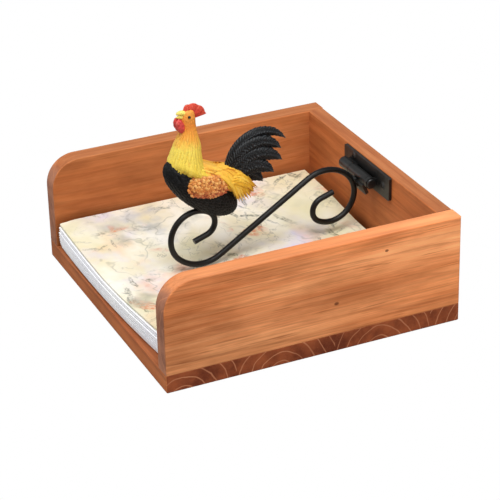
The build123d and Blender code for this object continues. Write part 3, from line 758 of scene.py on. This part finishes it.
def cape(clay, first, last, count=34):
    """Long feathers from the neck over the back and the top of the wing, by shares of the hem."""
    for side in (-1, 1):
        for layer, (lifted, inward) in enumerate(((0.0, 0.0), (2.8, 1.8), (4.6, 4.2))):
            for i in range(count):
                share = (i + 0.33 * layer) / count
                if not first <= share < last:
                    continue
                forward, up, out = curve_rows(CAPE_HEM, share * (len(CAPE_HEM) - 1))
                up, out = up + lifted + random.uniform(-0.3, 0.3), out - inward
                root = (side * (9.0 - 6.4 * share), -7.0 + 12.0 * share, 38.6 - 15.0 * share)
                tip = (side * out, -forward + random.uniform(-0.4, 0.4), up)
                bend = 0.42
                middle = (
                    side * ((1 - bend) * abs(root[0]) + bend * out + 1.3 - 0.6 * layer),
                    root[1] + (tip[1] - root[1]) * 0.45,
                    root[2] + (tip[2] - root[2]) * 0.55 + 0.5 - 0.9 * layer,
                )
                ribbon(
                    clay, (root, middle, tip), 2.9, 1.5, random.uniform(0.30, 0.72),
                    np.array([side, 0.0, 0.55]), rows=12, around=10,
                )


def hackle_piece(material, tree):
    form = Loft(HACKLE)
    around, ends = hem_share(form)

    def scaled(u, w):
        return w * np.interp(np.mod(u, 1.0), around, ends)

    def place(u0, w0):
        def at(a, b):
            u, w = u0 + b, w0 + a
            v = scaled(u, w)
            points, normals = form.at(u, v), form.normal(u, v)
            share = smooth_step(w, 0.98, 1.05)
            return laid_on(tree, points, share, 0.9), normals
        return at

    clay = Clay()
    u, w = round_grid(260, 150)
    w = w * 1.02
    points, normals = form.at(u, scaled(u, w)), form.normal(u, scaled(u, w))
    wave = u * 38 + 0.35 * np.sin(u * 25 + w * 7) + 0.25 * np.sin(u * 61 - w * 11)
    ridge = np.abs(np.sin(wave * math.pi)) ** 0.7
    size = 0.06 + 0.26 * smooth_step(w, 0.25, 0.7)
    points = points + normals * (size * (ridge - 0.6) + 0.10 * rough(points, 0.9))[..., None]
    points = laid_on(tree, points, smooth_step(w, 1.0, 1.02), 0.4)
    # tint: painted highlights on the ridges, painted shade in the grooves
    clay.tube(points, 0.30 + 0.34 * ridge * smooth_step(w, 0.1, 0.6))
    for start, count, length in FEATHER_ROWS:
        for i in range(count):
            u0 = (i + 0.5 * (count % 4 == 0) + random.uniform(-0.2, 0.2)) / count
            leaf(
                clay, place(u0, start + random.uniform(-0.02, 0.02)), length * random.uniform(0.92, 1.08),
                0.62 / count, 0.18, 0.42, random.uniform(0.40, 0.62), 3.0, random.uniform(-0.008, 0.008),
            )
    cape(clay, 0.0, 0.42)
    clay.piece("cockerel_hackle", material, "arm", "hackle_yellow", replaces=["rooster_hackle"])


def wings_piece(material):
    clay = Clay()
    stretch = WING_HALVES[0] / WING_HALVES[1]
    for side in (-1, 1):
        form = Ellipsoid(WING_PLACE, WING_TILT, WING_HALVES, side * WING_SIDE)

        def outer(s, t):
            """Outer face of the wing from shares along and across it."""
            s, t = np.broadcast_arrays(s, t)
            reach = np.sqrt(s**2 + t**2)
            shrink = np.where(reach > 0.97, 0.97 / np.maximum(reach, 1e-6), 1.0)
            inside = np.sqrt(np.clip(1 - (s * shrink) ** 2 - (t * shrink) ** 2, 0, 1))
            unit = np.stack([side * inside, s * shrink, t * shrink], -1)
            beyond = np.stack([0 * s, s - s * shrink, t - t * shrink], -1)
            return form.from_unit(unit + beyond), form.unit_normal(unit)

        u, v = round_grid(90, 60, 0.003)
        points = form.at(u, v)
        lumps = 0.16 * rough(points, 1.6)
        clay.tube(points + form.normal(u, v) * lumps[..., None], 0.25)
        rows = 15
        for r in range(rows):
            t0 = -0.90 + 1.80 * (r + 0.5) / rows
            front = (1 - abs(t0) ** 3.4) ** 0.5
            rear = max(0.15, 1 - abs(t0 - 0.1)) ** 0.62
            places = np.arange(-front, rear * 0.97, 0.115) + (0.055 if r % 2 else 0.0)
            for s0 in places:
                turn = random.uniform(-0.5, 0.5)
                c, d = math.cos(turn), math.sin(turn)

                def place(a, b, s0=s0, t0=t0, c=c, d=d):
                    return outer(s0 - 0.06 + a * c - b * d / stretch, t0 + a * d * stretch + b * c)

                leaf(
                    clay, place, random.uniform(0.125, 0.155), random.uniform(0.105, 0.13),
                    random.uniform(0.10, 0.26), 0.34, random.choice((0.12, 0.35, 0.5, 0.62, 0.8, 1.0)), 3.2,
                )
        for t0, s0, length in QUILLS:
            def place(a, b, s0=s0, t0=t0):
                return outer(s0 + a, t0 + b - 0.05 * a)

            leaf(clay, place, length, 0.11, 0.4, 0.4, 0.15 + 0.3 * random.random(), 2.4)
    clay.piece("cockerel_wings", material, "arm", "wing_brown", replaces=["rooster_wings"])


def saddle_piece(material):
    form = Loft(SADDLE)
    clay = Clay()
    u, v = round_grid(200, 90)
    points, normals = form.at(u, v), form.normal(u, np.clip(v, 0.02, 0.98))
    ridge = np.abs(np.sin((u * 24 + 0.3 * np.sin(v * 9 + u * 14)) * math.pi)) ** 0.7
    points = points + normals * (0.34 * (ridge - 0.5))[..., None]
    # tint: painted highlights on the ridges, painted shade in the grooves
    clay.tube(points, 0.25 + 0.35 * ridge)
    for v0, count, length in SADDLE_ROWS:
        for i in range(count):
            u0 = 0.42 + 0.66 * (i + 0.5 + random.uniform(-0.2, 0.2)) / count
            place = laid_at(form, u0, v0 + random.uniform(-0.03, 0.03))
            leaf(
                clay, place, length * random.uniform(0.9, 1.1), 0.029,
                0.35, 0.55, random.uniform(0.30, 0.75), 1.7, random.uniform(-0.012, 0.012),
            )
    for side in (-1, 1):
        for i, (forward, up, out) in enumerate(DROOP_TIPS):
            for layer in (0, 1):
                share = (i + 0.5 * layer) / len(DROOP_TIPS)
                root = (side * (9.0 - 4.0 * share), 10.0 + 11.0 * share, 27.0 - 1.5 * share)
                middle = (side * (13.6 - 5.2 * share), 17.0 + 13.0 * share, 23.5 - 3.5 * share)
                tip = (side * (out - 0.8 * layer), -forward - 1.4 * layer, up + 1.6 * layer)
                ribbon(
                    clay, (root, middle, tip), 3.2 - 0.5 * layer, 1.7,
                    random.uniform(0.12, 0.8), np.array([side, 0.1, 0.5]),
                )
    for x in (-4.4, -2.6, -0.9, 0.9, 2.6, 4.4):
        crown = np.array([x * 0.2, 0.3, 1.0])
        high = 30.2 - 0.7 * abs(x)
        for ends, tint in (
            (((x, 12.0, 23.5), (x * 1.3, 23.0, high), (x * 1.8, 31.0, 18.5)), 0.55),
            (((x, 2.0, 34.0), (x * 1.2, 7.0, 29.4), (x * 1.6, 18.0, 25.6)), 0.6),
            (((x, 19.0, 25.0), (x * 1.2, 31.0, high - 5.0), (x * 1.3, 40.5 - abs(x), 8.0)), 0.4),
        ):
            ribbon(clay, ends, 3.2, 1.7, tint, crown)
    cape(clay, 0.42, 1.01)
    clay.piece("cockerel_saddle", material, "arm", "saddle_gold", replaces=["rooster_saddle"])


def arc_through(places, t):
    """Points and directions on a circular arc through three (back, up) places."""
    (ax, ay), (bx, by), (cx, cy) = places
    d = 2 * (ax * (by - cy) + bx * (cy - ay) + cx * (ay - by))
    ux = ((ax**2 + ay**2) * (by - cy) + (bx**2 + by**2) * (cy - ay) + (cx**2 + cy**2) * (ay - by)) / d
    uy = ((ax**2 + ay**2) * (cx - bx) + (bx**2 + by**2) * (ax - cx) + (cx**2 + cy**2) * (bx - ax)) / d
    radius = math.hypot(ax - ux, ay - uy)
    a0, a1, a2 = [math.atan2(y - uy, x - ux) for x, y in places]
    turn = (a2 - a0) % (2 * math.pi)
    if (a1 - a0) % (2 * math.pi) > turn:
        turn -= 2 * math.pi
    angle = a0 + turn * t
    sign = 1 if turn > 0 else -1
    points = np.stack([ux + radius * np.cos(angle), uy + radius * np.sin(angle)], -1)
    runs = np.stack([-np.sin(angle) * sign, np.cos(angle) * sign], -1)
    return points, runs, abs(turn) * radius


def plume(clay, root, middle, tip, half_height, side, lean):
    """One curved tail feather with a jagged edge, slanting barbs and a shaft."""
    times, shares = zip(*PLUME_TAPER)
    t = np.linspace(0, 1, 190)
    points, runs, length = arc_through([(-p[0], p[1]) for p in (root, middle, tip)], t)
    ups = np.stack([-runs[:, 1], runs[:, 0]], -1)
    ring = np.linspace(0, 2 * math.pi, 40, endpoint=False)
    share = np.interp(t, times, shares)
    jag = 1 + 0.22 * (np.mod(t * length / 3.1, 1.0) - 0.5) * smooth_step(t, 0.35, 0.8)
    across = np.sin(ring)[None, :] * (half_height * share * jag)[:, None]
    wave = 0.3 * np.sin(t * 41)[:, None] + 0.3 * np.sin(across * 2.3 + t[:, None] * 17)
    barbs = np.sin((t[:, None] * length - 1.6 * np.abs(across) + wave) * 2 * math.pi / 1.9)
    shaft = np.exp(-(across / 0.45) ** 2)
    thick = (1.15 + 0.85 * share[:, None]) * np.cos(ring)[None, :]
    face = np.sign(np.cos(ring))[None, :] * np.sqrt(np.abs(np.cos(ring)))[None, :]
    thick = thick + face * (0.34 * barbs * (1 - shaft) + 0.55 * shaft * share[:, None])
    x = side + lean * t[:, None] + thick
    y = points[:, 0:1] + ups[:, 0:1] * across
    z = points[:, 1:2] + ups[:, 1:2] * across
    # tint: painted highlights on the barb ridges and the shaft, painted shade between the barbs
    clay.tube(np.stack([x, y, z], -1), 0.44 + 0.42 * barbs + 0.3 * shaft)


def tail_piece(material):
    """Plumes on the middle line, and pairs of them on either side of it."""
    clay = Clay()
    for *ends, half_height, side, lean in PLUMES:
        for turn in (1, -1) if side else (1,):
            plume(clay, *ends, half_height, turn * side, turn * lean)
    clay.piece("cockerel_tail", material, "arm", "feather_black", replaces=["rooster_tail"])


def comb_piece(material):
    clay = Clay()
    t = np.linspace(0, 1, 110)
    angle = np.radians(130 - 124 * t)
    lobe = np.abs(np.cos(t * math.pi * 3.6 + 0.4)) ** 0.8
    reach = 5.9 + 2.9 * smooth_step(t, 0, 0.3) + 3.4 * t**1.3 + 0.6 * (lobe - 0.5)
    ring = np.linspace(0, 2 * math.pi, 26, endpoint=False)
    share = (1 - np.cos(ring)) / 2
    radial = COMB_ROOT + (reach[:, None] - COMB_ROOT) * share[None, :]
    thick = np.sin(ring)[None, :] * (1.75 - 0.6 * share[None, :]) * (0.84 + 0.16 * lobe[:, None])
    thick = thick * (0.35 + 0.65 * np.sin(np.clip(t, 0.02, 0.98) * math.pi) ** 0.4)[:, None]
    y = -COMB_PLACE[0] + radial * np.cos(angle)[:, None]
    z = COMB_PLACE[1] + radial * np.sin(angle)[:, None]
    points = np.stack([thick, y, z], -1)
    lumps = rough(points, 0.8, 3)
    points[..., 0] += 0.14 * lumps * np.sign(thick)
    # tint: painted highlights on the lumps and towards the outer rim, painted shade in the hollows
    clay.tube(points, 0.40 + 0.25 * lumps + 0.25 * share[None, :])
    clay.piece("cockerel_comb", material, "arm", "comb_red", replaces=["rooster_comb"])


def wattles_piece(material):
    clay = Clay()
    for side in (-1, 1):
        form = Ellipsoid(WATTLE_PLACE, WATTLE_TILT, WATTLE_HALVES, side * WATTLE_SIDE)
        u, v = round_grid(48, 34, 0.004)
        points = form.at(u, v)
        lumps = rough(points, 0.7, 3)
        points = points + form.normal(u, v) * (0.3 * lumps)[..., None]
        # tint: painted highlights on the lumps, painted shade in the hollows
        clay.tube(points, 0.5 + 0.4 * lumps)
    clay.piece("cockerel_wattles", material, "arm", "comb_red", replaces=["rooster_wattles"])


def beak_piece(material):
    clay = Clay()
    for root, middle, tip, radius in BEAK:
        t = np.linspace(0, 1, 26)
        line = bend_through(root, middle, tip, t)
        size = radius * (1 - 0.62 * t) * np.sqrt(np.clip(1 - t**6, 0.02, 1))
        ring = np.linspace(0, 2 * math.pi, 24, endpoint=False)
        x = size[:, None] * np.cos(ring)[None, :] * 0.92
        z = line[:, 1:2] + size[:, None] * np.sin(ring)[None, :]
        points = np.stack([x, line[:, 0:1] + 0 * x, z], -1)
        lumps = rough(points, 0.9)
        # tint: painted highlights on the lumps, painted shade in the hollows
        clay.tube(points + 0.08 * lumps[..., None], 0.5 + 0.3 * lumps)
    clay.piece("cockerel_beak", material, "arm", "beak_yellow", replaces=["rooster_beak"])


def eyes_piece(material):
    clay = Clay()
    for side in (-1, 1):
        form = Ellipsoid(EYE_PLACE, 0.0, EYE_HALVES, side * EYE_SIDE)
        u, v = round_grid(28, 18, 0.01)
        clay.tube(form.at(u, v), 0.3)
    clay.piece("cockerel_eyes", material, "arm", "feather_black", replaces=["rooster_eyes"])


# ================================================================ napkins
def pile_height(x, y, share):
    """Height of a level of the pile, flat at the bottom and pressed down by the wire on top."""
    fade = 0.4 + 0.6 * smooth_step(y, NAPKIN_FRONT - NAPKIN_BOW, DIP_FRONT_Y)
    dip = DIP_DEPTH * np.exp(-(((x - DIP_X) / DIP_WIDTH) ** 2)) * fade
    return PILE_LOW + (PILE_TOP - dip - PILE_LOW) * share


def napkin(name, low, high, index, count, material, body, slot, replaces=()):
    """A square sheet folded twice, its second fold in front and its first one on the right.

    It is sheet number index of count between two shares of the pile's height, low and high.
    """
    r = random.Random(index * 31 + count)
    straight = np.linspace(0, 1, SHEET_POINTS)
    level = 0 * straight
    turn = np.linspace(0, math.pi, SIDE_FOLD_POINTS + 2)[1:-1]
    swing = np.linspace(-math.pi / 2, math.pi / 2, FRONT_FOLD_POINTS + 2)[1:-1]
    half_gap = (high - low) * (PILE_TOP - PILE_LOW) / count / 8
    x_edge = NAPKIN_HALF - r.uniform(0.2, 1.2)
    shift, rear_shift = r.uniform(-0.2, 0.2), r.uniform(-0.8, 0.8)

    x = np.concatenate([
        -NAPKIN_HALF + 1 + (x_edge + NAPKIN_HALF - 1) * straight,
        x_edge + half_gap * np.sin(turn),
        x_edge - (x_edge + NAPKIN_HALF - 1.6) * straight,
    ])
    offset = np.concatenate([0.375 + level, 0.25 + 0.125 * np.cos(turn), 0.125 + level])
    depth = np.concatenate([straight, 1 + 0 * swing, straight[::-1]])
    lean = np.concatenate([-1 + level, np.sin(swing), 1 + level])
    round_out = np.concatenate([level, np.cos(swing), level])

    middle = low + (high - low) * (index + 0.5) / count
    front = NAPKIN_FRONT + 1.1 + 1.6 * abs(2 * middle - 1.0) ** 3 + shift
    rear = NAPKIN_REAR + rear_shift
    x_grid, depth_grid = np.meshgrid(x, depth)
    skew = NAPKIN_SKEW * x_grid / NAPKIN_HALF
    bow = NAPKIN_BOW * (1 - (x_grid / NAPKIN_HALF) ** 2)
    y_grid = rear + (front - rear + skew - bow) * depth_grid
    y_grid = y_grid - 8 * half_gap * offset[None, :] * round_out[:, None]
    share = low + (high - low) * (index + 0.5 + offset[None, :] * lean[:, None]) / count
    z = pile_height(x_grid, y_grid, share)
    flat = np.stack([x_grid, y_grid, 0 * z], -1)
    z = z + 0.16 * rough(flat, 0.035) * (0.3 + middle) + 0.05 * rough(flat + index, 0.2)
    near_front = smooth_step(-y_grid, -front - 7.0, -front + 2.0)
    z = np.maximum(z - 0.9 * middle * near_front, PILE_LOW)
    clay = Clay()
    clay.grid(np.stack([x_grid, y_grid, z], -1))
    return clay.piece(name, material, body, slot, place=as_is, replaces=replaces)


def napkins():
    white, printed = tissue("napkin_white", False), tissue("napkin_print", True)
    for i in range(PILE_COUNT):
        name = f"napkin_{i + 1}"
        replaced = ["napkin_stack"] if i == 0 else ()
        piece = napkin(name, 0.0, PILE_SHARE, i, PILE_COUNT, white, "pile", "napkin_white", replaced)
    top = napkin("napkin_top", PILE_SHARE, 1.0, 0, 1, printed, "napkin", "napkin_print", ["top_napkin"])


# ================================================================ set
def camera():
    back = Vector(CAMERA_BACK).normalized()
    across = Vector((0, 0, 1)).cross(back).normalized()
    upward = back.cross(across)
    c, s = math.cos(CAMERA_ROLL), math.sin(CAMERA_ROLL)
    right, up = across * c + upward * s, upward * c - across * s
    data = bpy.data.cameras.new("camera")
    data.lens, data.sensor_width = CAMERA_LENS, 36.0
    data.clip_start, data.clip_end = 0.05, 20.0
    obj = placed("camera", data)
    turn = Matrix((right, up, back)).transposed().to_4x4()
    obj.matrix_world = Matrix.Translation(CAMERA_PLACE) @ turn
    scene.camera = obj


def area_light(name, place, size, watts):
    data = bpy.data.lights.new(name, "AREA")
    data.shape, data.size, data.energy = "SQUARE", size, watts
    obj = placed(name, data)
    obj.location = place
    obj.rotation_euler = (Vector(LIT_PLACE) - Vector(place)).to_track_quat("-Z", "Y").to_euler()


def floor():
    """Pale floor, pure white where the camera looks straight at it."""
    mesh = bpy.data.meshes.new("floor")
    corners = [(x * FLOOR_HALF, y * FLOOR_HALF, 0) for x, y in ((-1, -1), (1, -1), (1, 1), (-1, 1))]
    mesh.from_pydata(corners, [], [(0, 1, 2, 3)])
    obj = placed("floor", mesh)
    obj.location = (0, 0, FLOOR_Z)
    s = Shade("floor", 0.9, 0.0)
    s.put(s.surface.inputs["Base Color"], (FLOOR_GREY, FLOOR_GREY, FLOOR_GREY, 1))
    glow = s.node("Emission", {"Color": (1, 1, 1, 1), "Strength": 1.0}).outputs[0]
    seen = s.node("LightPath").outputs["Is Camera Ray"]
    mixed = s.node("MixShader", [seen, s.surface.outputs[0], glow]).outputs[0]
    s.put(s.tree.nodes["Material Output"].inputs["Surface"], mixed)
    mesh.materials.append(s.material)


def sky():
    """White surroundings, dimmer for the light that they give than for the camera."""
    world = bpy.data.worlds.new("studio")
    scene.world = world
    world.use_nodes = True
    tree = world.node_tree
    background = tree.nodes["Background"]
    background.inputs["Color"].default_value = (1, 1, 1, 1)
    path = tree.nodes.new("ShaderNodeLightPath")
    level = tree.nodes.new("ShaderNodeMapRange")
    level.inputs["To Min"].default_value, level.inputs["To Max"].default_value = SKY_LEVEL, 1.0
    tree.links.new(path.outputs["Is Camera Ray"], level.inputs["Value"])
    tree.links.new(level.outputs[0], background.inputs["Strength"])


def dress(node, material):
    nodes[node].data.materials.clear()
    nodes[node].data.materials.append(material)


camera()
floor()
sky()
area_light("key", (0.45, -0.25, 1.4), 0.9, 19.5)
area_light("front", (1.4, 0.35, 0.75), 1.0, 6.0)
area_light("left", (-0.8, -1.2, 0.5), 0.9, 5.0)

# top sets painted light and shade on upward faces, fade painted light and shade along the grain, and the face
# given by axis and sign gets painted shade
dress("side_wall_right", pine(
    "pine_right", "Y", pith=(0.118, 0.030), pitch=0.0066, tilt=(0.012, 0.035), shaded_side=(0, -1),
    knots=((0.0975, 0.046, 0.0590, 0.0011), (0.0975, 0.013, 0.0320, 0.0012)),
    seed=1.3, contrast=0.66, top=srgb(206, 134, 90), fade=(0.94, 1.26),
))
dress("side_wall_left", pine(
    "pine_left", "Y", pith=(-0.118, 0.022), pitch=0.0062, tilt=(0.01, -0.03), shaded_side=(0, 1),
    knots=((-0.0825, -0.050, 0.0702, 0.0026),),
    seed=4.1, contrast=0.42, top=srgb(140, 78, 46), fade=(0.86, 0.92),
))
dress("back_wall", pine(
    "pine_back", "X", pith=(0.118, 0.018), pitch=0.0066, tilt=(0.015, 0.02), shaded_side=(1, -1),
    seed=7.7, contrast=0.5, top=srgb(140, 80, 50), fade=(0.92, 0.86),
))
dress("base_board", pine(
    "pine_base", "X", pith=(0.030, -0.006), pitch=0.0064, shaded_side=(1, -1), seed=2.9, plank=0.064, waver=0.010,
    top=srgb(138, 80, 52), end=srgb(156, 80, 44), end_dark=srgb(104, 44, 20),
))
dress("wall_dowels", dowel_wood())
dress("scroll_arm", black_metal("black_wire", 0.30, srgb(16, 14, 12)))
hinge_metal = black_metal("black_metal", 0.65, srgb(27, 28, 28))
for node in ("hinge_fixed_leaf", "hinge_moving_leaf", "hinge_pin", "hinge_screws"):
    dress(node, hinge_metal)

paint = {name: painted(name, **look) for name, look in PAINTS.items()}
random.seed(7)
body_tree = body_piece(paint["feather_black"])
hackle_piece(paint["hackle_yellow"], body_tree)
wings_piece(paint["wing_brown"])
saddle_piece(paint["saddle_gold"])
tail_piece(paint["tail_black"])
comb_piece(paint["comb_red"])
wattles_piece(paint["wattle_red"])
beak_piece(paint["beak_yellow"])
eyes_piece(paint["eye_black"])
napkins()

scene.view_settings.view_transform = "Standard"
